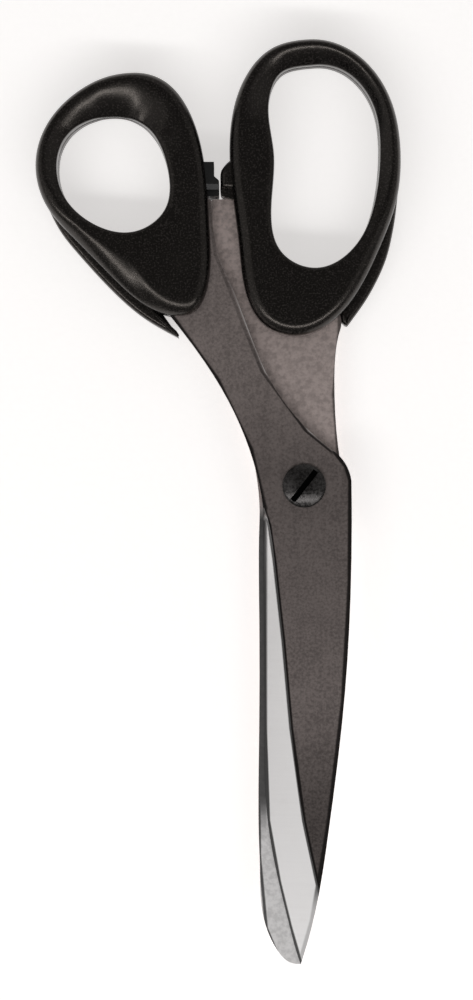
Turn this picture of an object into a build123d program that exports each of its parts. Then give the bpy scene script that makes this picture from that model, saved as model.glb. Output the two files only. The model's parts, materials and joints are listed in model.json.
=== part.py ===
"""Right-handed fabric shears: two tanged blades, two moulded handles in halves, and a screw pivot.

The origin is on the pivot axis at the surface that the shears lie on. +Y runs to the bows, -Y to the
blade tips, +Z faces up from the front blade. The shears are modelled closed. Millimetres.
"""

from build123d import *
import os

# Heights above the resting surface
HANDLE_HEIGHT = 12.0
BLADE_PLANE = 6.0  # the plane where the two blades rub, and where the handle halves part
BLADE_GAP = 0.05  # from the blade plane to each blade
BLADE_THICKNESS = 3.0
FRONT_BOTTOM = BLADE_PLANE + BLADE_GAP
FRONT_TOP = FRONT_BOTTOM + BLADE_THICKNESS
BACK_TOP = BLADE_PLANE - BLADE_GAP
BACK_BOTTOM = BACK_TOP - BLADE_THICKNESS

# Blades
TAPER_START_Y = -8.0
TIP_Y = -108.8
TIP_THICKNESS = 1.9
EDGE_LAND = 0.16
BEVEL_OVERRUN = 0.15  # share of its width that the bevel's cut runs on at both sides
BEVEL_CUT = 5.0
BLADE_REACH = 20.0  # half the width that the taper cut spans
TAPER_OVERRUN = 10.0
TAPER_CLEARANCE = 2.0
TIP_X = -0.7

# Pivot
JOURNAL_RADIUS = 3.0
THREAD_RADIUS = 2.5
THREAD_RELIEF = 0.15
RUNNING_CLEARANCE = 0.05
HEAD_RADIUS = 4.9
HEAD_RIM_HEIGHT = 0.45
HEAD_DOME_HEIGHT = 1.7
HEAD_GAP = 0.05
SLOT_WIDTH = 1.3
SLOT_DEPTH = 0.95
SLOT_ANGLE = 52.0
SCREW_END_Z = 0.35
SCREW_END_CHAMFER = 0.3
WASHER_HEIGHT = 0.55
WASHER_CONE = 0.15
WASHER_RADIUS = 4.6
WASHER_CLEARANCE = 0.15
NUT_ACROSS_FLATS = 8.5
NUT_CHAMFER = 0.4

# Handles
OUTER_ROUNDING = 2.3
HOLE_ROUNDING = 1.7
FLANGE_BOTTOM = 1.6
PEG_RADIUS = 1.5
PEG_CLEARANCE = 0.05
PEG_BOTTOM = 1.4
PEG_END_GAP = 0.1
PEG_ROOT = 0.5  # how far a peg runs into the half that carries it
STOP_BOTTOM = 1.6
STOP_TOP = 10.4
STOP_ROUNDING = 0.35
STOP_SHELF = 8.6  # height of the stops' lower ends, below the slope that ends their upper faces
STOP_SLOPE = [(68.1, STOP_TOP), (66.9, 9.87)]
STOP_RELIEF_WIDTH = 20.0

# Front blade's spine from the tip up to the shoulder, and its outer edge from there to the tang
FRONT_SPINE = [(2.1, -98.7), (5.9, -76.0), (9.1, -48.7), (10.6, -22.0), (10.7, 1.2)]
FRONT_OUTER_EDGE = [(1.3, 12.3), (-8.7, 25.8), (-12.7, 35.6), (-15.9, 44.0), (-19.2, 52.2), (-20.6, 64.0)]

# Back blade's outer edge from its tang down to the pivot
BACK_OUTER_EDGE = [
    (-21.3, 63.9), (-20.9, 56.0), (-20.8, 48.0), (-18.0, 32.0), (-12.3, 10.0), (-10.4, 0.0), (-10.05, -8.0),
]
BACK_SPINE = [(-10.1, -30.0), (-10.15, -58.0), (-10.05, -84.0)]

# (y, x of the cutting edge, x where the bevel meets the face) from the heel to the tip
FRONT_BEVEL = [
    (-5.0, -9.25, -9.05),
    (-9.0, -9.15, -7.85),
    (-17.0, -9.1, -6.7),
    (-35.0, -9.0, -4.7),
    (-55.0, -8.9, -2.9),
    (-76.0, -8.2, 0.0),
    (-90.0, -5.7, 3.0),
    (-100.0, -3.25, 5.2),
    (TIP_Y, TIP_X, 7.2),
    (TIP_Y - 4.0, TIP_X + 1.1, 8.2),
]
BACK_BEVEL = [
    (-5.0, 9.3, 9.1),
    (-9.0, 9.25, 8.05),
    (-17.0, 9.2, 7.2),
    (-35.0, 8.75, 4.75),
    (-55.0, 7.6, 1.8),
    (-76.0, 5.0, -2.9),
    (-90.0, 2.75, -5.7),
    (-100.0, 0.9, -7.6),
    (TIP_Y, TIP_X, -9.2),
    (TIP_Y - 4.0, TIP_X - 0.8, -10.0),
]

# Bow outlines, clockwise from the top
THUMB_BOW = [
    (-38.6, 93.4), (-30.1, 90.4), (-24.8, 82.0), (-22.3, 71.0), (-21.3, 57.0), (-21.6, 45.6),
    (-25.2, 38.9), (-32.3, 39.1), (-42.9, 46.7), (-51.9, 55.8), (-58.7, 64.0), (-60.7, 74.0),
    (-57.3, 83.1), (-48.9, 90.6),
]
THUMB_HOLE = [
    (-43.4, 83.7), (-34.8, 80.2), (-30.9, 71.5), (-31.5, 62.4), (-38.3, 57.4), (-47.7, 59.2),
    (-54.8, 66.7), (-54.7, 77.4),
]
FINGER_BOW = [
    (0.7, 100.9), (11.3, 98.0), (18.8, 89.1), (21.8, 76.0), (20.9, 64.5), (17.4, 54.5),
    (13.0, 45.3), (6.7, 37.4), (-0.9, 33.7), (-8.6, 35.9), (-13.2, 43.6), (-14.8, 54.5),
    (-16.3, 66.5), (-16.8, 79.5), (-14.2, 90.7), (-7.9, 98.6),
]
FINGER_HOLE = [
    (2.2, 95.3), (10.3, 93.1), (15.6, 86.0), (17.1, 76.0), (16.0, 64.8), (11.7, 54.5),
    (2.6, 49.2), (-5.2, 52.9), (-7.4, 61.5), (-6.8, 75.0), (-8.0, 86.0), (-5.1, 93.5),
]

# Narrow steps of the back halves, wider than the bows along their outer lower sides
THUMB_STEP = [
    (-59.9, 67.0), (-55.7, 58.4), (-49.9, 51.2), (-42.2, 43.1), (-35.7, 37.8), (-28.0, 33.4),
]
THUMB_STEP_INNER = [(-31.9, 39.2), (-38.0, 46.5), (-50.0, 57.5), (-57.0, 66.0)]
FINGER_STEP = [(21.9, 73.0), (21.5, 66.3), (20.5, 58.6), (18.6, 51.0), (14.8, 43.2), (9.7, 36.0)]
FINGER_STEP_INNER = [(7.0, 38.5), (11.0, 45.5), (15.0, 54.0), (18.6, 65.0), (19.6, 72.0)]

# Outer side of the finger bow's stop lug, from its top to the root below it
LUG_CROWN = [(-15.6, 74.2), (-17.0, 73.4), (-18.3, 72.0)]
LUG_FACE = [(-18.93, 70.6), (-18.93, 66.6)]
LUG_FOOT = [(-18.2, 65.4), (-15.6, 64.5)]

# Plan of the stop pad, clockwise from its upper end in the thumb bow
PAD_PLAN = [(-24.6, 73.1), (-20.4, 73.1), (-20.4, 69.9), (-19.25, 68.9), (-19.25, 65.55), (-24.6, 65.55)]

# Locating pegs of the front halves: the first two of each pass through the tang
THUMB_PEGS = [(-25.0, 57.0), (-26.8, 45.5), (-43.0, 88.3)]
FINGER_PEGS = [(-12.8, 57.5), (-2.5, 39.5), (1.6, 98.1)]

os.makedirs("parts", exist_ok=True)


def finish(piece, name):
    """Label a finished piece and write it to its STEP file."""
    piece.part.label = name
    export_step(piece.part, f"parts/{name}.step")


def face_height(y, rubbing_z, side):
    """Height of a blade's outer face at y: full thickness at the pivot, thinner to the tip."""
    share = (TAPER_START_Y - y) / (TAPER_START_Y - TIP_Y)
    thickness = BLADE_THICKNESS - max(share, 0.0) * (BLADE_THICKNESS - TIP_THICKNESS)
    return rubbing_z + side * thickness


def bevel_surface(stations, rubbing_z, side):
    """The ground bevel as a ruled surface, carried past the cutting edge and past the blade's face."""
    low_points = []
    high_points = []
    for y, edge_x, face_x in stations:
        edge_z = rubbing_z + side * EDGE_LAND
        run = face_x - edge_x
        rise = face_height(y, rubbing_z, side) - edge_z
        low_points.append((edge_x - BEVEL_OVERRUN * run, y, edge_z - BEVEL_OVERRUN * rise))
        high_points.append((face_x + BEVEL_OVERRUN * run, y, edge_z + (1 + BEVEL_OVERRUN) * rise))
    low_curve = Edge.make_spline([Vector(*point) for point in low_points])
    high_curve = Edge.make_spline([Vector(*point) for point in high_points])
    return Face.make_surface_from_curves(low_curve, high_curve)


def taper_profile(rubbing_z, side):
    """Side view of the wedge that thins a blade's outer face towards the tip."""
    far_y = TIP_Y - TAPER_OVERRUN
    clear = rubbing_z + side * (BLADE_THICKNESS + TAPER_CLEARANCE)
    with BuildLine() as profile:
        Polyline(
            (TAPER_START_Y, face_height(TAPER_START_Y, rubbing_z, side)),
            (far_y, face_height(far_y, rubbing_z, side)),
            (far_y, clear),
            (TAPER_START_Y, clear),
            close=True,
        )
    return profile.line


# Front blade: cutting edge on the left, spine on the right, tang in the thumb bow
with BuildPart() as front_blade:
    with BuildSketch(Plane.XY.offset(FRONT_BOTTOM)) as front_plan:
        with BuildLine():
            inner_edge = Spline((-33.0, 42.0), (-29.7, 37.8), (-19.9, 24.1), (-12.4, 8.4), (-9.25, -5.0))
            cutting_edge = Spline(
                [(x, y) for y, x, face in FRONT_BEVEL[:-1]], tangents=(inner_edge % 1, (1, -2.6))
            )
            spine = Spline((TIP_X, TIP_Y), *FRONT_SPINE)
            shoulder = ThreePointArc(spine @ 1, (9.75, 4.3), (7.2, 7.5))
            outer_edge = Spline(shoulder @ 1, *FRONT_OUTER_EDGE)
            tang_top = ThreePointArc(outer_edge @ 1, (-22.2, 65.2), (-25.6, 63.8))
            Spline(tang_top @ 1, (-28.2, 56.0), (-31.5, 50.0), inner_edge @ 0)
        make_face()
    extrude(amount=BLADE_THICKNESS)
    with BuildSketch(Plane.YZ.offset(-BLADE_REACH)) as front_taper:
        add(taper_profile(FRONT_BOTTOM, 1))
        make_face()
    extrude(amount=2 * BLADE_REACH, mode=Mode.SUBTRACT)
    front_bevel = bevel_surface(FRONT_BEVEL, FRONT_BOTTOM, 1)
    extrude(front_bevel, amount=BEVEL_CUT, dir=(0, 0, 1), mode=Mode.SUBTRACT)
    with BuildSketch(Plane.XY.offset(FRONT_BOTTOM)) as front_holes:
        Circle(JOURNAL_RADIUS + RUNNING_CLEARANCE)
        with Locations(THUMB_PEGS[:2]):
            Circle(PEG_RADIUS + PEG_CLEARANCE)
    extrude(amount=BLADE_THICKNESS, mode=Mode.SUBTRACT)
finish(front_blade, "front_blade")


# Back blade: spine on the left with a blunt tip, cutting edge on the right, tang in the finger bow
with BuildPart() as back_blade:
    with BuildSketch(Plane.XY.offset(BACK_BOTTOM)) as back_plan:
        with BuildLine():
            outer_edge = Spline(BACK_OUTER_EDGE)
            spine = Spline(
                [outer_edge @ 1, *BACK_SPINE], tangents=(outer_edge % 1, (0.05, -1))
            )
            blunt_tip = Spline(
                [spine @ 1, (-8.5, -100.5), (-4.5, -107.5), (TIP_X, TIP_Y)], tangents=(spine % 1, (1, 0))
            )
            cutting_edge = Spline([(x, y) for y, x, face in reversed(BACK_BEVEL[:-1])])
            inner_edge = Spline(
                [cutting_edge @ 1, (7.9, 8.4), (7.0, 21.0), (8.3, 35.5)],
                tangents=(cutting_edge % 1, (0.35, 1)),
            )
            tang_corner = ThreePointArc(inner_edge @ 1, (7.8, 40.0), (3.6, 42.6))
            tang_side = Spline(tang_corner @ 1, (-5.6, 46.0), (-9.8, 53.0), (-10.5, 62.5))
            Spline(
                [tang_side @ 1, (-13.6, 65.3), (-19.6, 65.2), outer_edge @ 0],
                tangents=((0, 1), (0, -1)),
            )
        make_face()
    extrude(amount=BLADE_THICKNESS)
    with BuildSketch(Plane.YZ.offset(-BLADE_REACH)) as back_taper:
        add(taper_profile(BACK_TOP, -1))
        make_face()
    extrude(amount=2 * BLADE_REACH, mode=Mode.SUBTRACT)
    back_bevel = bevel_surface(BACK_BEVEL, BACK_TOP, -1)
    extrude(back_bevel, amount=BEVEL_CUT, dir=(0, 0, -1), mode=Mode.SUBTRACT)
    with BuildSketch(Plane.XY.offset(BACK_BOTTOM)) as back_holes:
        Circle(JOURNAL_RADIUS + RUNNING_CLEARANCE)
        with Locations(FINGER_PEGS[:2]):
            Circle(PEG_RADIUS + PEG_CLEARANCE)
    extrude(amount=BLADE_THICKNESS, mode=Mode.SUBTRACT)
finish(back_blade, "back_blade")


def bow_plan(outline, opening):
    """Plan of a bow: its outline less the finger opening."""
    with BuildSketch() as plan:
        with BuildLine():
            Spline(outline, periodic=True)
        make_face()
        with BuildLine():
            Spline(opening, periodic=True)
        make_face(mode=Mode.SUBTRACT)
    return plan.sketch


def round_over(top_edges):
    """Round a bow's outer edge and, by less, the edge of its opening."""
    by_length = top_edges.sort_by(SortBy.LENGTH)
    fillet(by_length[-1], radius=OUTER_ROUNDING)
    fillet(by_length[0], radius=HOLE_ROUNDING)


thumb_plan = bow_plan(THUMB_BOW, THUMB_HOLE)
finger_plan = bow_plan(FINGER_BOW, FINGER_HOLE)


def stop_relief():
    """What is cut from the top of both stops: a slope, then a shelf along their lower ends."""
    (slope_y, slope_z), (foot_y, foot_z) = STOP_SLOPE
    end_y = LUG_FOOT[-1][1] - TAPER_CLEARANCE
    clear = HANDLE_HEIGHT
    with BuildPart() as relief:
        with BuildSketch(Plane.YZ.offset(PAD_PLAN[0][0] - 1)):
            with BuildLine():
                Polyline(
                    (slope_y, slope_z),
                    (foot_y, foot_z),
                    (foot_y, STOP_SHELF),
                    (end_y, STOP_SHELF),
                    (end_y, clear),
                    (slope_y, clear),
                    close=True,
                )
            make_face()
        extrude(amount=STOP_RELIEF_WIDTH)
    return relief.part


# Stop pad: a block let into the inner side of the thumb bow, where it meets the finger bow's lug
with BuildPart() as stop_pad:
    with BuildSketch(Plane.XY.offset(STOP_BOTTOM)) as stop_plan:
        with BuildLine():
            Polyline(*PAD_PLAN, close=True)
        make_face()
    extrude(amount=STOP_TOP - STOP_BOTTOM)
    fillet(stop_pad.edges().filter_by(Axis.Z).group_by(Axis.X)[-1], radius=STOP_ROUNDING)
    add(stop_relief(), mode=Mode.SUBTRACT)
finish(stop_pad, "stop_pad")


# Thumb bow, front half: lies over the front blade's tang and holds it in a pocket
with BuildPart() as thumb_handle_front:
    with BuildSketch(Plane.XY.offset(BLADE_PLANE)):
        add(thumb_plan)
    extrude(amount=HANDLE_HEIGHT - BLADE_PLANE)
    round_over(thumb_handle_front.edges().group_by(Axis.Z)[-1])
    with BuildSketch(Plane.XY.offset(BLADE_PLANE)):
        add(front_plan.sketch.moved(Location((0, 0, -FRONT_BOTTOM))))
    extrude(amount=FRONT_TOP - BLADE_PLANE, mode=Mode.SUBTRACT)
    with BuildSketch(Plane.XY.offset(PEG_BOTTOM)):
        with Locations(THUMB_PEGS):
            Circle(PEG_RADIUS)
    extrude(amount=FRONT_TOP + PEG_ROOT - PEG_BOTTOM)
    add(stop_pad.part, mode=Mode.SUBTRACT)
finish(thumb_handle_front, "thumb_handle_front")


# Thumb bow, back half: wider along the outer lower side, ending in a prong beside the blade
with BuildPart() as thumb_handle_back:
    with BuildSketch(Plane.XY):
        add(thumb_plan)
    extrude(amount=BLADE_PLANE)
    round_over(thumb_handle_back.edges().group_by(Axis.Z)[0])
    with BuildSketch(Plane.XY.offset(FLANGE_BOTTOM)):
        with BuildLine():
            thumb_step = Spline(THUMB_STEP)
            Polyline(thumb_step @ 1, *THUMB_STEP_INNER, thumb_step @ 0)
        make_face()
    extrude(amount=BLADE_PLANE - FLANGE_BOTTOM)
    with BuildSketch(Plane.XY.offset(BLADE_PLANE)):
        with Locations(THUMB_PEGS):
            Circle(PEG_RADIUS + PEG_CLEARANCE)
    extrude(amount=PEG_BOTTOM - PEG_END_GAP - BLADE_PLANE, mode=Mode.SUBTRACT)
    add(stop_pad.part, mode=Mode.SUBTRACT)
finish(thumb_handle_back, "thumb_handle_back")


def stop_lug(bottom, top):
    """The finger bow's stop lug between two heights."""
    with BuildPart() as lug:
        with BuildSketch(Plane.XY.offset(bottom)):
            with BuildLine():
                face = Line(*LUG_FACE)
                crown = Spline([*LUG_CROWN, face @ 0], tangents=((-1, 0), face % 0))
                foot = Spline([face @ 1, *LUG_FOOT], tangents=(face % 1, (0.2, -1)))
                Line(foot @ 1, crown @ 0)
            make_face()
        extrude(amount=top - bottom)
        add(stop_relief(), mode=Mode.SUBTRACT)
    return lug.part


# Finger bow, front half: lies on the back blade's tang
with BuildPart() as finger_handle_front:
    with BuildSketch(Plane.XY.offset(BLADE_PLANE)):
        add(finger_plan)
    extrude(amount=HANDLE_HEIGHT - BLADE_PLANE)
    round_over(finger_handle_front.edges().group_by(Axis.Z)[-1])
    add(stop_lug(BLADE_PLANE, STOP_TOP))
    with BuildSketch(Plane.XY.offset(PEG_BOTTOM)):
        with Locations(FINGER_PEGS):
            Circle(PEG_RADIUS)
    extrude(amount=BLADE_PLANE + PEG_ROOT - PEG_BOTTOM)
finish(finger_handle_front, "finger_handle_front")


# Finger bow, back half: holds the back blade's tang in a pocket, and is wider on the outer lower side
with BuildPart() as finger_handle_back:
    with BuildSketch(Plane.XY):
        add(finger_plan)
    extrude(amount=BLADE_PLANE)
    round_over(finger_handle_back.edges().group_by(Axis.Z)[0])
    add(stop_lug(STOP_BOTTOM, BLADE_PLANE))
    with BuildSketch(Plane.XY.offset(FLANGE_BOTTOM)):
        with BuildLine():
            finger_step = Spline(FINGER_STEP)
            Polyline(finger_step @ 1, *FINGER_STEP_INNER, finger_step @ 0)
        make_face()
    extrude(amount=BLADE_PLANE - FLANGE_BOTTOM)
    with BuildSketch(Plane.XY.offset(BACK_BOTTOM)):
        add(back_plan.sketch.moved(Location((0, 0, -BACK_BOTTOM))))
    extrude(amount=BLADE_PLANE - BACK_BOTTOM, mode=Mode.SUBTRACT)
    with BuildSketch(Plane.XY.offset(BLADE_PLANE)):
        with Locations(FINGER_PEGS):
            Circle(PEG_RADIUS + PEG_CLEARANCE)
    extrude(amount=PEG_BOTTOM - PEG_END_GAP - BLADE_PLANE, mode=Mode.SUBTRACT)
finish(finger_handle_back, "finger_handle_back")


# Pivot screw: slotted dome head, plain journal through both blades, threaded end in the nut
with BuildPart() as pivot_screw:
    head_bottom = FRONT_TOP + HEAD_GAP
    rim_top = head_bottom + HEAD_RIM_HEIGHT
    dome_top = head_bottom + HEAD_DOME_HEIGHT
    thread_top = BACK_BOTTOM + THREAD_RELIEF
    with BuildSketch(Plane.XZ) as screw_profile:
        with BuildLine():
            dome = TangentArc((0, dome_top), (HEAD_RADIUS, rim_top), tangent=(1, 0))
            Polyline(
                dome @ 1,
                (HEAD_RADIUS, head_bottom),
                (JOURNAL_RADIUS, head_bottom),
                (JOURNAL_RADIUS, thread_top),
                (THREAD_RADIUS, thread_top),
                (THREAD_RADIUS, SCREW_END_Z + SCREW_END_CHAMFER),
                (THREAD_RADIUS - SCREW_END_CHAMFER, SCREW_END_Z),
                (0, SCREW_END_Z),
                dome @ 0,
            )
        make_face()
    revolve(axis=Axis.Z)
    with BuildSketch(Plane.XY.offset(dome_top)) as slot:
        Rectangle(3 * HEAD_RADIUS, SLOT_WIDTH, rotation=SLOT_ANGLE)
    extrude(amount=-SLOT_DEPTH, mode=Mode.SUBTRACT)
finish(pivot_screw, "pivot_screw")


# Spring washer: a shallow cone, its inner edge on the back blade and its outer edge on the nut
with BuildPart() as spring_washer:
    with BuildSketch(Plane.XZ) as washer_profile:
        with BuildLine():
            Polyline(
                (THREAD_RADIUS + WASHER_CLEARANCE, BACK_BOTTOM),
                (WASHER_RADIUS, BACK_BOTTOM - WASHER_CONE),
                (WASHER_RADIUS, BACK_BOTTOM - WASHER_HEIGHT),
                (THREAD_RADIUS + WASHER_CLEARANCE, BACK_BOTTOM - WASHER_HEIGHT + WASHER_CONE),
                close=True,
            )
        make_face()
    revolve(axis=Axis.Z)
finish(spring_washer, "spring_washer")


# Pivot nut: hexagonal, on the screw's threaded end; the shears lie on its lower face
with BuildPart() as pivot_nut:
    with BuildSketch(Plane.XY) as nut_plan:
        RegularPolygon(radius=NUT_ACROSS_FLATS / 2, side_count=6, major_radius=False)
    extrude(amount=BACK_BOTTOM - WASHER_HEIGHT)
    chamfer(pivot_nut.edges().group_by(Axis.Z)[0], length=NUT_CHAMFER)
    with BuildSketch(Plane.XY) as nut_bore:
        Circle(THREAD_RADIUS + RUNNING_CLEARANCE)
    extrude(amount=HANDLE_HEIGHT, mode=Mode.SUBTRACT)
finish(pivot_nut, "pivot_nut")
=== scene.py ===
"""Looks for the fabric shears: moulded bows, ground and blasted steel, soft studio light. Metres."""

import functools
import json
import math

import bmesh
import bpy
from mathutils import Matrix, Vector
from mathutils.bvhtree import BVHTree


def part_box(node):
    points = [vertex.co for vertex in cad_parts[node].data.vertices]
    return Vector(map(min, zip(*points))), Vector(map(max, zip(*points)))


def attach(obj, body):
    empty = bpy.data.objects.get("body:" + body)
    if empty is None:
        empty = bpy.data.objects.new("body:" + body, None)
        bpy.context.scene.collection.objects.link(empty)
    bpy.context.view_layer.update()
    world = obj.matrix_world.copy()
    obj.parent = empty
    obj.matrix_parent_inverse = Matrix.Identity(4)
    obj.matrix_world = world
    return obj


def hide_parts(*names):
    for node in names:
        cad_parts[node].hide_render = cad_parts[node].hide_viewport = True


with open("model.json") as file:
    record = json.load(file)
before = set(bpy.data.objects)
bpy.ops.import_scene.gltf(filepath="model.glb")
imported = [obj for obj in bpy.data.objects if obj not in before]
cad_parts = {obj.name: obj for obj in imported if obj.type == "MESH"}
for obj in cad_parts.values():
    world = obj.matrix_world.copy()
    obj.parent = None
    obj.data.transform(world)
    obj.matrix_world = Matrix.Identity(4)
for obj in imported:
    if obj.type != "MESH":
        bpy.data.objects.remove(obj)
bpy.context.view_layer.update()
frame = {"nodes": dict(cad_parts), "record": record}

MM = 0.001
PARTING = 6.0 * MM  # height where the front and back halves of a bow meet
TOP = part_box("finger_handle_front")[1].z
PART_GAP = 0.02 * MM  # keeps the two halves of a bow from touching
PROBE_Z = TOP - 1.5 * MM  # above the stop lug and the step, just inside the CAD's rounded edge
SLOT_FLOOR = 9.85 * MM  # bottom of the pivot screw's slot
PROBE_INSET = 0.13 * MM  # what the CAD's rounding takes off the outline at that height
FARTHEST = 60 * MM  # from an opening's edge to well outside the bow
PROBE_RAYS = 360
STATIONS = 168  # sections round a bow
STEEPEST = 0.45  # how oblique the outer wall may be to a section, as a cosine

# the seam between the bow's halves: how far in and how high its groove reaches, and its lip
GROOVE_DEPTH = 0.12 * MM
GROOVE_RISE = 0.14 * MM
GROOVE_LIP = 0.02 * MM

# a bow's section: the most of the width that the shoulder may take, the most of the rest that the
# rounding at the opening may take, and how fast the slope between them steepens
MAX_SHOULDER = 0.55
MAX_INNER_ROUND = 0.4
SLOPE_POWER = 1.5

# segments in the rounding of a slab's edge, and in a bow section's three stretches
ROUND_STEPS = 4
SHOULDER_STEPS = 8
SLOPE_STEPS = 8
INNER_STEPS = 5
CURVE_STEPS = 10  # points per span of an outline's smooth curve

BACK_LOW = 1.6 * MM  # underside of the stop lug and of the narrow steps
STEP_TOP = PARTING - 0.05 * MM
STOP_SHELF = 8.6 * MM
STOP_TOP = 10.4 * MM


# ---------------------------------------------------------------- small geometry helpers


def keyed(keys, angle):
    """Value at an angle in degrees, eased between (angle, value) keys that go round a full turn."""
    angle %= 360.0
    ring = keys + [(keys[0][0] + 360.0, keys[0][1])]
    if angle < keys[0][0]:
        angle += 360.0
    for (low, before), (high, after) in zip(ring, ring[1:]):
        if low <= angle <= high:
            share = (angle - low) / (high - low)
            share = share * share * (3.0 - 2.0 * share)
            return before + (after - before) * share


def smooth_curve(points, steps):
    """Points of a Catmull-Rom curve from the first of the given flat points to the last."""
    last = len(points) - 1
    out = []
    for i in range(last):
        p0, p1, p2, p3 = (points[min(max(i + k, 0), last)] for k in (-1, 0, 1, 2))
        for step in range(steps):
            t = step / steps
            linear = (p2 - p0) * t
            square = (2 * p0 - 5 * p1 + 4 * p2 - p3) * t**2
            cubic = (3 * p1 - p0 - 3 * p2 + p3) * t**3
            out.append(0.5 * (2 * p1 + linear + square + cubic))
    out.append(points[last])
    return out


def normals_of(loop):
    """Outward normals of an anticlockwise flat loop."""
    count = len(loop)
    out = []
    for i in range(count):
        along = (loop[(i + 1) % count] - loop[i - 1]).normalized()
        out.append(Vector((along.y, -along.x)))
    return out


def evenly(loop, count):
    """The closed loop again, as that many points at equal spacing."""
    lengths = [(loop[(i + 1) % len(loop)] - loop[i]).length for i in range(len(loop))]
    total = sum(lengths)
    out = []
    i, passed = 0, 0.0
    for k in range(count):
        target = total * k / count
        while passed + lengths[i] < target:
            passed += lengths[i]
            i += 1
        share = (target - passed) / lengths[i]
        out.append(loop[i].lerp(loop[(i + 1) % len(loop)], share))
    return out


def object_from(name, bm):
    """A smooth-shaded object made from a bmesh, linked to the scene."""
    bmesh.ops.recalc_face_normals(bm, faces=bm.faces)
    mesh = bpy.data.meshes.new(name)
    bm.to_mesh(mesh)
    bm.free()
    for polygon in mesh.polygons:
        polygon.use_smooth = True
    obj = bpy.data.objects.new(name, mesh)
    bpy.context.scene.collection.objects.link(obj)
    return obj


def bridge(bm, loops, close_ends):
    """Quads between loops of equal length; the last loop joins the first unless the ends are closed."""
    rings = [[bm.verts.new(p) for p in loop] for loop in loops]
    pairs = list(zip(rings, rings[1:]))
    if not close_ends:
        pairs.append((rings[-1], rings[0]))
    for low, high in pairs:
        for i in range(len(low)):
            j = (i + 1) % len(low)
            bm.faces.new((low[i], low[j], high[j], high[i]))
    if close_ends:
        bm.faces.new(rings[0][::-1])
        bm.faces.new(rings[-1])


def slab(bm, outline, low_z, high_z, low_round, high_round):
    """A flat solid with rounded upper and lower edges, on a smooth anticlockwise outline."""
    normals = normals_of(outline)
    levels = []
    turns = [math.radians(90 * step / ROUND_STEPS) for step in range(ROUND_STEPS + 1)]
    for turn in turns:
        levels.append((low_round * (1 - math.sin(turn)), low_z + low_round * (1 - math.cos(turn))))
    for turn in turns:
        levels.append((high_round * (1 - math.cos(turn)), high_z - high_round * (1 - math.sin(turn))))
    loops = []
    for inset, z in levels:
        loops.append([(p.x - n.x * inset, p.y - n.y * inset, z) for p, n in zip(outline, normals)])
    bridge(bm, loops, close_ends=True)


# ---------------------------------------------------------------- the moulded bows

frame_openings = {o["name"]: o["box_m"] for o in frame["record"]["physics"]["openings"]}


def bow_stations(node, opening):
    """Round a bow: (point on the opening's edge, outward direction, width, obliqueness, angle)."""
    low, high = frame_openings[opening]
    centre = (Vector(low) + Vector(high)).to_2d() / 2
    tree = BVHTree.FromObject(frame["nodes"][node], bpy.context.evaluated_depsgraph_get())

    def hit(start, direction):
        place = tree.ray_cast(Vector((start.x, start.y, PROBE_Z)), direction.to_3d())[0]
        return place.to_2d()

    edge = []
    for ray in range(PROBE_RAYS):
        turn = math.radians(360 * ray / PROBE_RAYS)
        edge.append(hit(centre, Vector((math.cos(turn), math.sin(turn)))))
    edge = evenly(edge, STATIONS)
    directions = normals_of(edge)
    outer = []
    for point, direction in zip(edge, directions):
        outer.append(hit(point + direction * FARTHEST, -direction))
    outer_normals = normals_of(outer)
    stations = []
    for point, direction, far, normal in zip(edge, directions, outer, outer_normals):
        facing = max(direction.dot(normal), STEEPEST)
        width = (far - point).length + PROBE_INSET / facing
        angle = math.degrees(math.atan2(far.y - centre.y, far.x - centre.x))
        stations.append((point, direction, width, 1.0 / facing, angle))
    return stations


def bow_section(width, stretch, crest, drop, inner_round, shoulder, fullness):
    """Half-section of a bow from its outer wall to the opening: (distance from outside, height up).

    width is the bow's width here, and stretch how much longer its oblique section makes the
    shoulder. The other values are those of a shape's five tables.
    """
    height = TOP - PARTING - PART_GAP
    reach = min(crest * stretch, MAX_SHOULDER * width)
    inner_round = min(inner_round, MAX_INNER_ROUND * (width - reach))
    tilt = math.atan(SLOPE_POWER * drop / (width - reach - 0.5 * inner_round))
    flat_end = width - inner_round * (1 - math.sin(tilt))
    power = 2.0 / fullness
    section = [(GROOVE_DEPTH, 0.0), (GROOVE_LIP, GROOVE_RISE), (0.0, 0.35 * (height - shoulder))]

    # shoulder: a superellipse from the outer wall up to the crest
    for step in range(SHOULDER_STEPS + 1):
        turn = math.radians(90 * step / SHOULDER_STEPS)
        inward = reach * (1 - max(math.cos(turn), 0.0) ** power)
        section.append((inward, height - shoulder * (1 - math.sin(turn) ** power)))

    # slope from the crest down to the opening, and the rounding that ends it
    for step in range(1, SLOPE_STEPS + 1):
        share = step / SLOPE_STEPS
        section.append((reach + (flat_end - reach) * share, height - drop * share**SLOPE_POWER))
    for step in range(1, INNER_STEPS + 1):
        turn = tilt + (math.radians(90) - tilt) * step / INNER_STEPS
        inward = flat_end + inner_round * (math.sin(turn) - math.sin(tilt))
        section.append((inward, height - drop - inner_round * (math.cos(tilt) - math.cos(turn))))

    section += [(width, 0.3 * height), (width - GROOVE_LIP, GROOVE_RISE), (width - GROOVE_DEPTH, 0.0)]
    section += [(width * 0.66, 0.0), (width * 0.33, 0.0)]
    return section


def bow_half(bm, stations, shape, side):
    """One half of a bow as a closed ring. side is 1 for the front half and -1 for the back half."""
    rows = []
    for point, direction, width, stretch, angle in stations:
        far = point + direction * width
        values = [keyed(keys, angle) * MM for keys in shape[:-1]]
        section = bow_section(width, stretch, *values, keyed(shape[-1], angle))
        row = []
        for inset, up in section:
            place = far - direction * inset
            row.append((place.x, place.y, PARTING + side * (up + PART_GAP)))
        rows.append(row)
    loops = [[row[k] for row in rows] for k in range(len(rows[0]))]
    bridge(bm, loops, close_ends=False)


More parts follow.
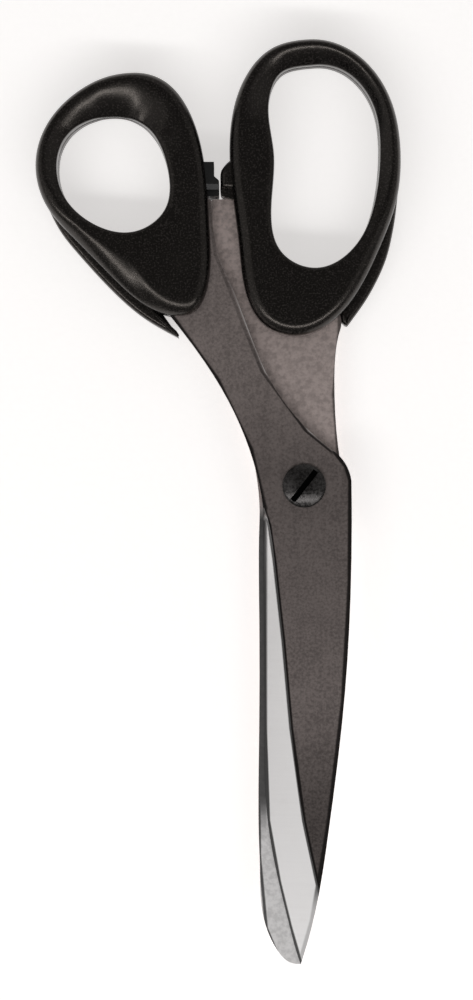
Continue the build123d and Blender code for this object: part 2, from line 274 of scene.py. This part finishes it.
# Five tables of (angle round the opening in degrees, value): how far in the crest lies, how much
# the inner slope falls from it, the rounding at the opening, how far down the outer shoulder
# reaches, all in mm, and how full the shoulder is: 2 for an ellipse, less for a flatter slope.
THUMB_SHAPE = (
    [(0, 2.2), (30, 2.6), (60, 2.6), (80, 1.8), (110, 1.6), (150, 1.5), (185, 1.8), (215, 3.2),
     (240, 5.0), (260, 6.0), (280, 5.8), (293, 4.0), (303, 2.9), (335, 2.6)],
    [(0, 0.3), (35, 0.6), (60, 2.6), (78, 4.2), (95, 4.2), (112, 3.0), (135, 2.1), (155, 1.6),
     (180, 1.1), (225, 0.4), (270, 0.2)],
    [(0, 1.2), (90, 0.9), (180, 0.8), (270, 0.9)],
    [(0, 2.4), (60, 2.6), (90, 2.8), (180, 2.8), (215, 3.0), (245, 3.0), (280, 3.0), (300, 2.9)],
    [(0, 2.0), (210, 2.0), (240, 1.4), (282, 1.35), (300, 1.9)],
)
FINGER_SHAPE = (
    [(0, 1.7), (60, 1.6), (100, 1.4), (140, 1.7), (180, 2.4), (225, 2.9), (265, 2.9), (300, 2.9),
     (330, 2.0)],
    [(0, 1.3), (50, 2.6), (95, 3.4), (135, 2.2), (170, 0.5), (225, 0.2), (270, 0.2), (315, 0.4)],
    [(0, 0.8), (90, 0.8), (180, 1.2), (270, 0.9)],
    [(0, 2.6), (90, 2.8), (180, 2.6), (270, 2.8)],
    [(0, 2.0), (230, 1.8), (300, 1.8)],
)


def anticlockwise(points):
    """The flat points, in anticlockwise order."""
    area = sum(a.x * b.y - b.x * a.y for a, b in zip(points, points[1:] + points[:1]))
    return points if area > 0 else points[::-1]


def outline_mm(curve_points, straight_points):
    """A closed outline in metres: a smooth curve, then straight runs back to its start."""
    curve = smooth_curve([Vector(p) * MM for p in curve_points], CURVE_STEPS)
    straight = [Vector(p) * MM for p in straight_points]
    return anticlockwise(curve + straight)


def step_solid(bm, outline):
    """The narrow step that the back half shows beyond the front half, along the outer lower side."""
    slab(bm, outline, BACK_LOW, STEP_TOP, low_round=0.6 * MM, high_round=1.3 * MM)


def handle_object(name, node, body, parts):
    """A handle half from its parts, riding on its body in place of its CAD node."""
    bm = bmesh.new()
    for part in parts:
        part(bm)
    obj = object_from(name, bm)
    subdivide = obj.modifiers.new("smooth", "SUBSURF")
    subdivide.levels = 1
    subdivide.render_levels = 1
    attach(obj, body)
    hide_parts(node)
    return obj


def stop_lug(bm, low_z, high_z):
    """The finger bow's stop lug between two heights."""
    outline = outline_mm(
        [(-15.4, 64.5), (-18.2, 65.4), (-18.9, 66.5), (-18.93, 68.5), (-18.9, 70.7), (-18.3, 72.0),
         (-17.0, 73.4), (-15.4, 74.2)],
        [(-14.0, 73.0), (-14.0, 65.5)],
    )
    slab(bm, outline, low_z, high_z, low_round=0.3 * MM, high_round=0.3 * MM)


def stop_crown(bm):
    """The upper part of the stop lug, which ends in a slope above the shelf."""
    outline = outline_mm(
        [(-14.6, 66.9), (-16.6, 67.0), (-18.6, 67.3), (-18.9, 68.4), (-18.9, 70.7), (-18.3, 72.0),
         (-17.0, 73.4), (-15.4, 74.2)],
        [(-14.0, 73.0), (-14.0, 67.5)],
    )
    sunk = STOP_SHELF - 0.5 * MM  # so that the crown grows out of the shelf
    slab(bm, outline, sunk, STOP_TOP, low_round=0.1 * MM, high_round=1.3 * MM)


THUMB_STEP = outline_mm(
    [(-59.8, 66.8), (-55.7, 58.4), (-49.9, 51.2), (-42.2, 43.1), (-35.7, 37.8), (-28.1, 33.5)],
    [(-31.9, 39.2), (-38.0, 46.5), (-50.0, 57.5), (-57.0, 66.0)],
)
FINGER_STEP = outline_mm(
    [(21.9, 72.8), (21.5, 66.3), (20.5, 58.6), (18.6, 51.0), (14.8, 43.2), (9.8, 36.1)],
    [(7.0, 38.5), (11.0, 45.5), (15.0, 54.0), (18.6, 65.0), (19.6, 72.0)],
)

thumb_stations = bow_stations("thumb_handle_front", "thumb_opening")
finger_stations = bow_stations("finger_handle_front", "finger_opening")

handle_pieces = [
    handle_object(
        "thumb_bow_front",
        "thumb_handle_front",
        "thumb_side",
        [lambda bm: bow_half(bm, thumb_stations, THUMB_SHAPE, 1)],
    ),
    handle_object(
        "thumb_bow_back",
        "thumb_handle_back",
        "thumb_side",
        [
            lambda bm: bow_half(bm, thumb_stations, THUMB_SHAPE, -1),
            lambda bm: step_solid(bm, THUMB_STEP),
        ],
    ),
    handle_object(
        "finger_bow_front",
        "finger_handle_front",
        "finger_side",
        [
            lambda bm: bow_half(bm, finger_stations, FINGER_SHAPE, 1),
            lambda bm: stop_lug(bm, PARTING, STOP_SHELF),
            stop_crown,
        ],
    ),
    handle_object(
        "finger_bow_back",
        "finger_handle_back",
        "finger_side",
        [
            lambda bm: bow_half(bm, finger_stations, FINGER_SHAPE, -1),
            lambda bm: stop_lug(bm, BACK_LOW, PARTING),
            lambda bm: step_solid(bm, FINGER_STEP),
        ],
    ),
]


# ---------------------------------------------------------------- materials


class Nodes:
    """Short calls for building a material's node tree."""

    def __init__(self, name):
        self.material = bpy.data.materials.new(name)
        self.material.use_nodes = True
        self.tree = self.material.node_tree
        self.shader = self.tree.nodes["Principled BSDF"]
        self.coords = self.tree.nodes.new("ShaderNodeTexCoord")

    def link(self, source, target):
        self.tree.links.new(source, target)

    def value(self, socket, number):
        """Set a socket from a number, or link it from another socket."""
        if isinstance(number, bpy.types.NodeSocket):
            self.link(number, socket)
        else:
            socket.default_value = number

    def noise(self, scale, detail=3.0, roughness=0.55, stretch=(1, 1, 1), turn=0.0):
        """Noise of so many features a metre, stretched along an axis by a factor under 1."""
        mapping = self.tree.nodes.new("ShaderNodeMapping")
        mapping.inputs["Scale"].default_value = stretch
        mapping.inputs["Rotation"].default_value = (0, 0, turn)
        self.link(self.coords.outputs["Object"], mapping.inputs["Vector"])
        node = self.tree.nodes.new("ShaderNodeTexNoise")
        node.inputs["Scale"].default_value = scale
        node.inputs["Detail"].default_value = detail
        node.inputs["Roughness"].default_value = roughness
        self.link(mapping.outputs["Vector"], node.inputs["Vector"])
        return node.outputs["Fac"]

    def ramp(self, source, low, high, low_value=0.0, high_value=1.0, kind="SMOOTHSTEP"):
        """The source taken from one range to another, and held at the ends."""
        node = self.tree.nodes.new("ShaderNodeMapRange")
        node.interpolation_type = kind
        self.value(node.inputs["Value"], source)
        node.inputs["From Min"].default_value = low
        node.inputs["From Max"].default_value = high
        self.value(node.inputs["To Min"], low_value)
        self.value(node.inputs["To Max"], high_value)
        return node.outputs["Result"]

    def math(self, operation, first, second=0.0):
        """One operation of Blender's Math node on sockets or numbers."""
        node = self.tree.nodes.new("ShaderNodeMath")
        node.operation = operation
        self.value(node.inputs[0], first)
        self.value(node.inputs[1], second)
        return node.outputs[0]

    def mix(self, factor, first, second):
        """A blend of two colours; normals are blended the same way."""
        node = self.tree.nodes.new("ShaderNodeMix")
        node.data_type = "RGBA"
        self.value(node.inputs["Factor"], factor)
        first_color, second_color, result_color = 6, 7, 2
        self.value(node.inputs[first_color], first)
        self.value(node.inputs[second_color], second)
        return node.outputs[result_color]

    def scaled(self, color, factor):
        """A colour made lighter or darker by a factor."""
        node = self.tree.nodes.new("ShaderNodeVectorMath")
        node.operation = "SCALE"
        self.link(color, node.inputs[0])
        self.link(factor, node.inputs["Scale"])
        return node.outputs[0]

    def times(self, *factors):
        """The product of masks and numbers."""
        return functools.reduce(lambda a, b: self.math("MULTIPLY", a, b), factors)

    def strongest(self, *masks):
        """The highest of several masks at each place."""
        return functools.reduce(lambda a, b: self.math("MAXIMUM", a, b), masks)

    def position(self, axis):
        """Where a point lies along x, y or z (0, 1 or 2)."""
        return self.part_of(self.coords.outputs["Object"], axis)

    def fade(self, low_y, high_y, low_value=0.0, high_value=1.0):
        """A value that eases from one number to another between two places along y, in mm."""
        return self.ramp(self.position(1), low_y * MM, high_y * MM, low_value, high_value)

    def line_x(self, stations):
        """Where a line along the blade lies across it, from (y, x) stations in mm, lowest y first."""
        along = self.position(1)
        x = stations[0][1] * MM
        for (low_y, low_x), (high_y, high_x) in zip(stations, stations[1:]):
            step = self.ramp(along, low_y * MM, high_y * MM, 0.0, (high_x - low_x) * MM, "LINEAR")
            x = self.math("ADD", x, step)
        return x

    def near(self, distance, width, softness):
        """A mask that is 1 within a width of a line and fades out over the softness, both in mm."""
        away = self.math("ABSOLUTE", distance)
        return self.ramp(away, (width + softness) * MM, width * MM)

    def drawn(self, stations, width, softness, shift=0.0):
        """The mask of a line along the blade, moved towards -x by the shift. Millimetres."""
        distance = self.math("SUBTRACT", self.position(0), self.line_x(stations))
        if shift:
            distance = self.math("ADD", distance, shift * MM)
        return self.near(distance, width, softness)

    def part_of(self, socket, axis):
        """The x, y or z (0, 1 or 2) of a vector."""
        node = self.tree.nodes.new("ShaderNodeSeparateXYZ")
        self.link(socket, node.inputs[0])
        return node.outputs[axis]

    def bump(self, height, distance, strength=1.0, below=None):
        """A normal roughened by a height, on top of another bump if one is given."""
        node = self.tree.nodes.new("ShaderNodeBump")
        node.inputs["Distance"].default_value = distance
        node.inputs["Strength"].default_value = strength
        self.link(height, node.inputs["Height"])
        if below is not None:
            self.link(below, node.inputs["Normal"])
        return node.outputs["Normal"]

    def finish(self, color, roughness, normal, metallic=0.0, specular=0.5):
        """Feed the shader, and return the finished material."""
        self.value(self.shader.inputs["Base Color"], color)
        self.value(self.shader.inputs["Roughness"], roughness)
        self.value(self.shader.inputs["Metallic"], metallic)
        self.value(self.shader.inputs["Specular IOR Level"], specular)
        self.link(normal, self.shader.inputs["Normal"])
        return self.material


def grey(level, warmth=0.0):
    """A neutral colour, warmed a little."""
    return (level * (1 + warmth), level, level * (1 - 0.3 * warmth), 1.0)


WARM_GLOSS = (1.0, 0.90, 0.82, 1.0)


def plastic_material():
    """Moulded black plastic with a spark-eroded grain and a slightly uneven gloss."""
    n = Nodes("moulded_black_plastic")
    grain = n.noise(3600, detail=3.0)
    speckle = n.noise(2600, detail=1.0)
    swirl = n.noise(190, detail=4.0)
    color = n.mix(n.ramp(speckle, 0.48, 0.72), grey(0.0005), grey(0.024, 0.15))
    roughness = n.ramp(swirl, 0.3, 0.7, 0.21, 0.29)
    normal = n.bump(grain, 0.04 * MM, 0.5)
    normal = n.bump(swirl, 0.06 * MM, 0.3, below=normal)
    n.shader.inputs["Specular Tint"].default_value = WARM_GLOSS
    return n.finish(color, roughness, normal)


def rubber_material():
    """Matt black rubber of the stop pad."""
    n = Nodes("matt_black_rubber")
    grain = n.noise(3800, detail=4.0)
    color = n.mix(n.ramp(grain, 0.3, 0.75), grey(0.002), grey(0.006))
    return n.finish(color, n.ramp(grain, 0.3, 0.7, 0.4, 0.5), n.bump(grain, 0.04 * MM, 0.6))


GROUND_DARK = grey(0.93, 0.02)
GROUND_LIGHT = grey(0.97, 0.02)
STAINED = grey(0.78, 0.05)
# painted light: shade along the blades' edges and a highlight on one edge
EDGE_SHADOW = grey(0.012, 0.1)
EDGE_GLINT = grey(0.75, 0.05)
# painted shade for the blades' side walls
PAINTED_WALL_SHADE = grey(0.05, 0.1)


def blade_material(name, grain, face_dark, face_light, rubbing_face, shading, painted_edge_light):
    """Blasted satin steel, ground bright on the bevel and the rubbing face, with painted shade on the
    side walls.

    grain is the (scale, roughness, bump) of the blasting. rubbing_face gives the mask of the flat
    face that is ground too and its brightness. shading lists (low y, high y, factor below, factor
    above) in mm and makes the blasted face darker or lighter along the blade. painted_edge_light
    gives the masks of the edges painted dark as shade and of the edge painted bright as a highlight.
    """
    n = Nodes(name)
    up = n.part_of(n.coords.outputs["Normal"], 2)
    tilt = n.math("ABSOLUTE", up)

    # masks: 1 on a sloping ground bevel, 1 on a side wall, which is painted dark as shade
    bevel = n.times(n.ramp(tilt, 0.9985, 0.993), n.ramp(tilt, 0.2, 0.35))
    wall = n.ramp(tilt, 0.3, 0.15)
    rubbed, rubbed_shade = rubbing_face(n, up)
    ground = n.strongest(bevel, rubbed)

    # blasted face: mottled at about 1 mm, fine pits, faint long rubbing marks
    scale, coarse, pebbling = grain
    mottle = n.noise(scale, detail=5.0, roughness=coarse)
    cloud = n.noise(140, detail=3.0)
    pits = n.noise(6500, detail=2.0)
    rub = n.noise(420, detail=3.0, stretch=(1, 0.05, 1))
    shade = n.math("ADD", n.times(mottle, 0.65), n.times(cloud, 0.2))
    shade = n.math("ADD", shade, n.times(rub, 0.15))
    face = n.mix(n.ramp(shade, 0.36, 0.64), face_dark, face_light)
    for stretch in shading:
        face = n.scaled(face, n.fade(*stretch))

    # ground steel: fine lines straight across the blade, soft stains
    lines = n.noise(900, detail=6.0, roughness=0.7, stretch=(0.03, 1, 0.03), turn=0.12)
    stain = n.noise(260, detail=4.0)
    bright = n.mix(n.ramp(lines, 0.2, 0.8), GROUND_DARK, GROUND_LIGHT)
    bright = n.mix(n.ramp(stain, 0.55, 0.8, 0.0, 0.25), bright, STAINED)
    rubbed_shade = n.times(rubbed_shade, n.ramp(mottle, 0.35, 0.65, 0.80, 1.0))
    bright = n.scaled(bright, n.ramp(rubbed, 0.0, 1.0, 1.0, rubbed_shade))

    color = n.mix(ground, face, bright)
    painted_shade_lines, painted_highlight_lines = painted_edge_light(n, up)
    # painted shade along the edges, then a painted highlight on one edge
    color = n.mix(painted_shade_lines, color, EDGE_SHADOW)
    color = n.mix(painted_highlight_lines, color, EDGE_GLINT)
    # painted shade: the side walls drawn near black
    color = n.mix(wall, color, PAINTED_WALL_SHADE)
    face_roughness = n.ramp(shade, 0.3, 0.7, 0.52, 0.40)
    ground_roughness = n.ramp(lines, 0.3, 0.7, 0.40, 0.32)
    roughness = n.ramp(ground, 0.0, 1.0, face_roughness, ground_roughness)
    metallic = n.ramp(ground, 0.0, 1.0, 1.0, 0.15)
    blast = n.bump(n.math("ADD", mottle, n.times(pits, 0.5)), 0.03 * MM, pebbling)
    grind = n.bump(lines, 0.012 * MM, 0.25)
    return n.finish(color, roughness, n.mix(ground, blast, grind), metallic=metallic)


def underside_ground(n, up):
    """Front blade: the rubbing face looks down, and is ground from just above the pivot to the tip."""
    return n.times(n.ramp(up, -0.95, -0.99), n.fade(14, 10)), 1.0


def topside_ground(n, up):
    """Back blade: the rubbing face looks up, and is ground from below the pivot to the tip."""
    return n.times(n.ramp(up, 0.95, 0.99), n.fade(-2, -9)), 0.95


# (y, x) in mm of lines along the blades, as they lie on the steel, lowest y first
FRONT_EDGE_LINE = [
    (-108.8, -0.7), (-100, -3.25), (-90, -5.7), (-76, -8.2), (-55, -8.9), (-35, -9.0), (-5, -9.25),
]
FRONT_FACE_LINE = [
    (-108.8, 7.2), (-100, 5.2), (-90, 3.0), (-76, 0.0), (-55, -2.9), (-35, -4.7), (-17, -6.7),
    (-9, -7.85), (-5, -9.05),
]
FRONT_SPINE_LINE = [
    (-108.8, -0.7), (-98.7, 2.1), (-76, 5.9), (-48.7, 9.1), (-22, 10.6), (1.2, 10.7), (4.3, 9.75),
    (7.5, 7.2),
]
FRONT_OUTER_LINE = [
    (7.5, 7.2), (12.3, 1.3), (25.8, -8.7), (35.6, -12.7), (44, -15.9), (52.2, -19.2), (64, -20.6),
]
FRONT_INNER_LINE = [(-5, -9.25), (8.4, -12.4), (24.1, -19.9), (37.8, -29.7), (42, -33)]
BACK_OUTER_LINE = [(-106, -6.2), (-100.5, -8.5), (-84, -10.05), (-58, -10.15), (-8, -10.05)]
BACK_INNER_LINE = [(-5, 9.3), (8.4, 7.9), (21, 7.0), (35.5, 8.3)]


def front_painted_edge_light(n, up):
    """Front blade, upper side: a mask of its lines of painted shade and one of its painted highlight.

    Painted dark as shade are the honed edge, the bevel's upper border, the spine, the shank's inner
    edge and a line just inside its outer edge. The outer edge itself gets a painted highlight.
    """
    topside = n.ramp(up, 0.2, 0.35)
    # painted shade along the edges and the bevel's border
    honed = n.times(n.drawn(FRONT_EDGE_LINE, 0.4, 0.3), 0.97)
    border = n.times(n.drawn(FRONT_FACE_LINE, 0.32, 0.28), 0.96)
    bevel = n.times(n.strongest(honed, border), n.fade(-3, -8))
    spine = n.times(n.drawn(FRONT_SPINE_LINE, 0.55, 0.5), n.fade(-97, -90, 0.4, 0.92))
    shank = n.times(n.drawn(FRONT_INNER_LINE, 0.6, 0.6), 0.92)
    inside = n.times(n.drawn(FRONT_OUTER_LINE, 0.2, 0.35, shift=0.85), n.fade(6.5, 8))
    inside = n.times(inside, n.fade(40, 12, 0.35, 0.85))
    dark = n.strongest(bevel, spine, shank, inside)
    # painted highlight along the shank's outer edge
    bright = n.times(n.drawn(FRONT_OUTER_LINE, 0.15, 0.2), n.fade(7, 10), n.fade(48, 36))
    return n.times(dark, topside), n.times(bright, n.times(topside, 0.8))


def back_painted_edge_light(n, up):
    """Back blade, upper side: a mask of its lines of painted shade and, as it has no painted highlight,
    a 0.

    Painted dark as shade are the shank's inner edge and the blade's outer edge, with a wider band
    of painted shade beside the front blade.
    """
    topside = n.ramp(up, 0.2, 0.35)
    side = n.times(n.drawn(BACK_INNER_LINE, 0.35, 0.5), 0.7)
    # the wider band is painted shade beside the front blade's cutting edge
    margin = n.times(n.drawn(BACK_OUTER_LINE, 1.4, 0.5), n.fade(-82, -70))
    outer = n.strongest(n.drawn(BACK_OUTER_LINE, 0.2, 0.3), margin)
    outer = n.times(outer, n.fade(-3, -8), 0.9)
    return n.times(n.strongest(side, outer), topside), 0.0


def black_steel_material():
    """Black-oxide steel of the screw and nut, worn to grey on its ridges, with painted shade in the
    slot and on the steep walls.
    """
    n = Nodes("black_oxide_steel")
    mottle = n.noise(1600, detail=5.0, roughness=0.65)
    up = n.math("ABSOLUTE", n.part_of(n.coords.outputs["Normal"], 2))
    worn = n.times(n.ramp(up, 0.8, 0.65), n.ramp(up, 0.3, 0.5))
    # painted shade: the slot's floor and the steep walls are drawn near black
    at_slot_floor = n.near(n.math("SUBTRACT", n.position(2), SLOT_FLOOR), 0.05, 0.05)
    slot = n.times(n.ramp(up, 0.99, 0.999), at_slot_floor)
    dark = n.strongest(slot, n.ramp(up, 0.3, 0.15))
    color = n.mix(n.ramp(mottle, 0.35, 0.7), grey(0.035, 0.06), grey(0.09, 0.06))
    color = n.mix(n.times(worn, 0.8), color, grey(0.35, 0.03))
    color = n.mix(dark, color, grey(0.004))
    roughness = n.ramp(mottle, 0.3, 0.7, 0.22, 0.38)
    return n.finish(color, roughness, n.bump(mottle, 0.03 * MM, 0.4), metallic=1.0)


def washer_material():
    """Bright spring steel."""
    n = Nodes("spring_steel")
    mottle = n.noise(2200, detail=4.0)
    color = n.mix(n.ramp(mottle, 0.3, 0.7), grey(0.42, 0.02), grey(0.55, 0.02))
    roughness = n.ramp(mottle, 0.3, 0.7, 0.25, 0.4)
    return n.finish(color, roughness, n.bump(mottle, 0.01 * MM), metallic=1.0)


def wear(obj, material):
    """Give an object one material in all its slots."""
    if not obj.material_slots:
        obj.data.materials.append(material)
    for slot in obj.material_slots:
        slot.link = "OBJECT"
        slot.material = material


EDGE_BREAK = 0.10 * MM
WELD_WITHIN = 0.001 * MM
SHARP = math.radians(28)  # the least angle of an edge that is broken


def soften_edges(obj):
    """Break a CAD node's sharp edges by a hair, so that they catch the light."""
    weld = obj.modifiers.new("weld", "WELD")
    weld.merge_threshold = WELD_WITHIN
    bevel = obj.modifiers.new("edge", "BEVEL")
    bevel.width = EDGE_BREAK
    bevel.segments = 2
    bevel.limit_method = "ANGLE"
    bevel.angle_limit = SHARP
    bevel.harden_normals = True


plastic = plastic_material()
for piece in handle_pieces:
    wear(piece, plastic)

nodes = frame["nodes"]
front_steel = blade_material(
    "front_blade_satin",
    (1700, 0.6, 0.4),
    grey(0.13, 0.17),
    grey(0.26, 0.17),
    underside_ground,
    [(-80, -45, 0.38, 1.0), (0, 30, 1.0, 1.6)],
    front_painted_edge_light,
)
back_steel = blade_material(
    "back_blade_blasted",
    (900, 0.55, 0.8),
    grey(0.42, 0.18),
    grey(0.74, 0.18),
    topside_ground,
    # painted light: the tang between the bows is drawn lighter, lifting the shade the bows cast on it
    [(32, 52, 1.0, 1.15)],
    back_painted_edge_light,
)
wear(nodes["front_blade"], front_steel)
wear(nodes["back_blade"], back_steel)
wear(nodes["stop_pad"], rubber_material())
black_steel = black_steel_material()
wear(nodes["pivot_screw"], black_steel)
wear(nodes["pivot_nut"], black_steel)
wear(nodes["spring_washer"], washer_material())

soften_edges(nodes["pivot_screw"])
soften_edges(nodes["pivot_nut"])


# ---------------------------------------------------------------- floor, light and camera


FLOOR_HALF = 1.5
FLOOR_GLOW = 0.58
FLOOR_TINT = (1.0, 0.975, 0.96, 1)
SKY_TINT = (1.0, 0.985, 0.975, 1)
SKY_GLOW = 0.15

# name, place, (width, length) in metres, watts
SOFTBOXES = [
    ("light_key", (-0.05, -0.52, 0.72), (1.9, 0.10), 4.7),
    ("light_left", (-0.66, 0.0, 0.47), (0.8, 1.0), 0.7),
    ("light_right", (0.75, 0.15, 0.50), (0.8, 1.1), 0.5),
    ("light_far", (0.1, 0.80, 0.42), (1.1, 0.6), 0.5),
]
LIGHT_TARGET = Vector((-0.015, 0.0, PARTING))  # about the middle of the shears

VIEW_CENTRE = (-15.3 * MM, -3.2 * MM)
VIEW_HEIGHT = 227.5 * MM  # what the frame's height shows at the blades
VIEW_DISTANCE = 520 * MM
SENSOR = 24.0


def floor():
    """A plain pale sheet under the shears."""
    bm = bmesh.new()
    bmesh.ops.create_grid(bm, x_segments=1, y_segments=1, size=FLOOR_HALF)
    obj = object_from("floor", bm)
    n = Nodes("pale_paper")
    fibre = n.noise(900, detail=4.0)
    color = n.mix(n.ramp(fibre, 0.3, 0.7), (0.80, 0.79, 0.785, 1), (0.84, 0.83, 0.825, 1))
    n.shader.inputs["Emission Color"].default_value = FLOOR_TINT
    n.shader.inputs["Emission Strength"].default_value = FLOOR_GLOW
    wear(obj, n.finish(color, 0.85, n.bump(fibre, 0.01 * MM, 0.2), specular=0.2))


def softbox(name, place, size, power):
    """A rectangular light that faces the middle of the shears."""
    data = bpy.data.lights.new(name, "AREA")
    data.shape = "RECTANGLE"
    data.size, data.size_y = size
    data.energy = power
    obj = bpy.data.objects.new(name, data)
    obj.location = place
    aim = LIGHT_TARGET - Vector(place)
    obj.rotation_euler = aim.to_track_quat("-Z", "Y").to_euler()
    bpy.context.scene.collection.objects.link(obj)


def sky():
    """An even, faint light from all round."""
    world = bpy.data.worlds.new("studio")
    world.use_nodes = True
    background = world.node_tree.nodes["Background"]
    background.inputs["Color"].default_value = SKY_TINT
    background.inputs["Strength"].default_value = SKY_GLOW
    bpy.context.scene.world = world


def camera():
    """A camera straight above the shears."""
    data = bpy.data.cameras.new("camera")
    data.sensor_fit = "VERTICAL"
    data.sensor_height = SENSOR
    data.lens = SENSOR * VIEW_DISTANCE / VIEW_HEIGHT
    obj = bpy.data.objects.new("camera", data)
    obj.location = (*VIEW_CENTRE, PARTING + VIEW_DISTANCE)
    bpy.context.scene.collection.objects.link(obj)
    bpy.context.scene.camera = obj


floor()
for light in SOFTBOXES:
    softbox(*light)
sky()
camera()
bpy.context.scene.view_settings.view_transform = "Standard"
